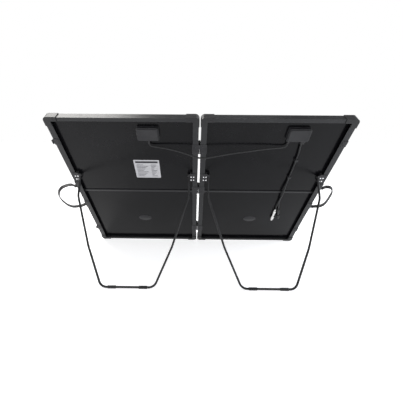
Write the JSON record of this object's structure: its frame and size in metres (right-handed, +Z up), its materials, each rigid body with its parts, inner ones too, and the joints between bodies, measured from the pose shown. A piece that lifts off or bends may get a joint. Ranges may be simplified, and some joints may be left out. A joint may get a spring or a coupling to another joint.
{
  "type": "folding solar panel",
  "caption": "Suitcase-style folding solar panel, opened flat and leaning back on its two wire legs, with carrying straps, latches, junction boxes and leads.",
  "frame": {"origin": "on the ground, under the middle of the standing part's bounding box, its leads left out", "axes": "+X along the two panels' shared width, towards the panel that carries the output leads; +Y from the legs' feet towards the panels' bottom edges; +Z up; the glass faces +Y and up"},
  "size_m": [1.1518, 0.4706, 0.6087],
  "materials": {
    "frame_black": "black anodised aluminium, satin",
    "corner_plastic": "moulded black plastic, fine grain",
    "cover_glass": "tempered low-iron glass, smooth",
    "cell_silicon": "dark blue-black silicon with fine silver lines",
    "back_sheet": "black laminated sheet, semi-gloss",
    "box_plastic": "black moulded plastic",
    "board": "green circuit board",
    "hinge_steel": "black coated steel, satin",
    "leg_steel": "black powder-coated steel rod",
    "foot_rubber": "soft black rubber sleeve",
    "strap_rubber": "flexible black strap",
    "latch_steel": "black coated steel",
    "lead_jacket": "black cable jacket, satin",
    "connector_body": "black plastic connector with bright metal sleeves",
    "black_screw": "black oxide screw heads",
    "bright_rivet": "bright dome rivets"
  },
  "bodies": {
    "left_panel": {"left_top_outer_corner": "corner_plastic", "left_top_inner_corner": "corner_plastic", "left_bottom_outer_corner": "corner_plastic", "left_bottom_inner_corner": "corner_plastic", "left_top_rail": "frame_black", "left_bottom_rail": "frame_black", "left_outer_rail": "frame_black", "left_inner_rail": "frame_black", "left_glass": "cover_glass", "left_cells": "cell_silicon", "left_backsheet": "back_sheet", "left_crossbar": "frame_black", "left_junction_base": "box_plastic", "left_junction_lid": "box_plastic", "left_diode_board": "board", "left_hinge_leaves": "hinge_steel", "left_leg_brackets": "leg_steel", "left_leg_pins": "leg_steel", "left_handle_mounts": "hinge_steel", "hinge_pins": "hinge_steel", "latch_bases": "latch_steel", "left_lead_gland": "box_plastic", "left_screws": "black_screw", "left_rivets": "bright_rivet", "link_lead": "lead_jacket"},
    "right_panel": {"right_top_outer_corner": "corner_plastic", "right_top_inner_corner": "corner_plastic", "right_bottom_outer_corner": "corner_plastic", "right_bottom_inner_corner": "corner_plastic", "right_top_rail": "frame_black", "right_bottom_rail": "frame_black", "right_outer_rail": "frame_black", "right_inner_rail": "frame_black", "right_glass": "cover_glass", "right_cells": "cell_silicon", "right_backsheet": "back_sheet", "right_crossbar": "frame_black", "right_junction_base": "box_plastic", "right_junction_lid": "box_plastic", "right_diode_board": "board", "right_hinge_leaves": "hinge_steel", "right_leg_brackets": "leg_steel", "right_leg_pins": "leg_steel", "right_handle_mounts": "hinge_steel", "latch_keepers": "latch_steel", "right_lead_glands": "box_plastic", "lead_clips": "box_plastic", "output_connectors": "connector_body", "right_screws": "black_screw", "right_rivets": "bright_rivet", "output_lead_positive": "lead_jacket", "output_lead_negative": "lead_jacket"},
    "left_leg": {"left_leg": "leg_steel", "left_foot_sleeves": "foot_rubber"},
    "right_leg": {"right_leg": "leg_steel", "right_foot_sleeves": "foot_rubber"},
    "left_handle": {"left_handle_strap": "strap_rubber"},
    "right_handle": {"right_handle_strap": "strap_rubber"},
    "upper_latch": {"upper_latch_lever": "latch_steel"},
    "lower_latch": {"lower_latch_lever": "latch_steel"}
  },
  "joints": [
    {"name": "panel_fold", "type": "hinge", "parent": "left_panel", "child": "right_panel", "pos_m": [0.0093, 0.02377, 0.33477], "axis": [0, -0.5563, 0.831], "range_deg": [0, 180], "deforming": ["link_lead"]},
    {"name": "left_leg_fold", "type": "hinge", "parent": "left_panel", "child": "left_leg", "pos_m": [-0.2472, -0.03818, 0.38596], "axis": [1, 0, 0], "range_deg": [0, 60.53]},
    {"name": "right_leg_fold", "type": "hinge", "parent": "right_panel", "child": "right_leg", "pos_m": [0.2658, -0.03818, 0.38596], "axis": [1, 0, 0], "range_deg": [0, 60.53]},
    {"name": "left_handle_swing", "type": "hinge", "parent": "left_panel", "child": "left_handle", "pos_m": [-0.5063, 0.03746, 0.28557], "axis": [0, -0.5563, 0.831], "range_deg": [-43, 32]},
    {"name": "right_handle_swing", "type": "hinge", "parent": "right_panel", "child": "right_handle", "pos_m": [0.5249, 0.03746, 0.28557], "axis": [0, 0.5563, -0.831], "range_deg": [-25, 50]},
    {"name": "upper_latch_swing", "type": "hinge", "parent": "left_panel", "child": "upper_latch", "pos_m": [-0.5042, -0.11555, 0.5267], "axis": [0, 0.5563, -0.831], "range_deg": [0, 180]},
    {"name": "lower_latch_swing", "type": "hinge", "parent": "left_panel", "child": "lower_latch", "pos_m": [-0.5042, 0.17094, 0.09875], "axis": [0, 0.5563, -0.831], "range_deg": [0, 180]}
  ]
}
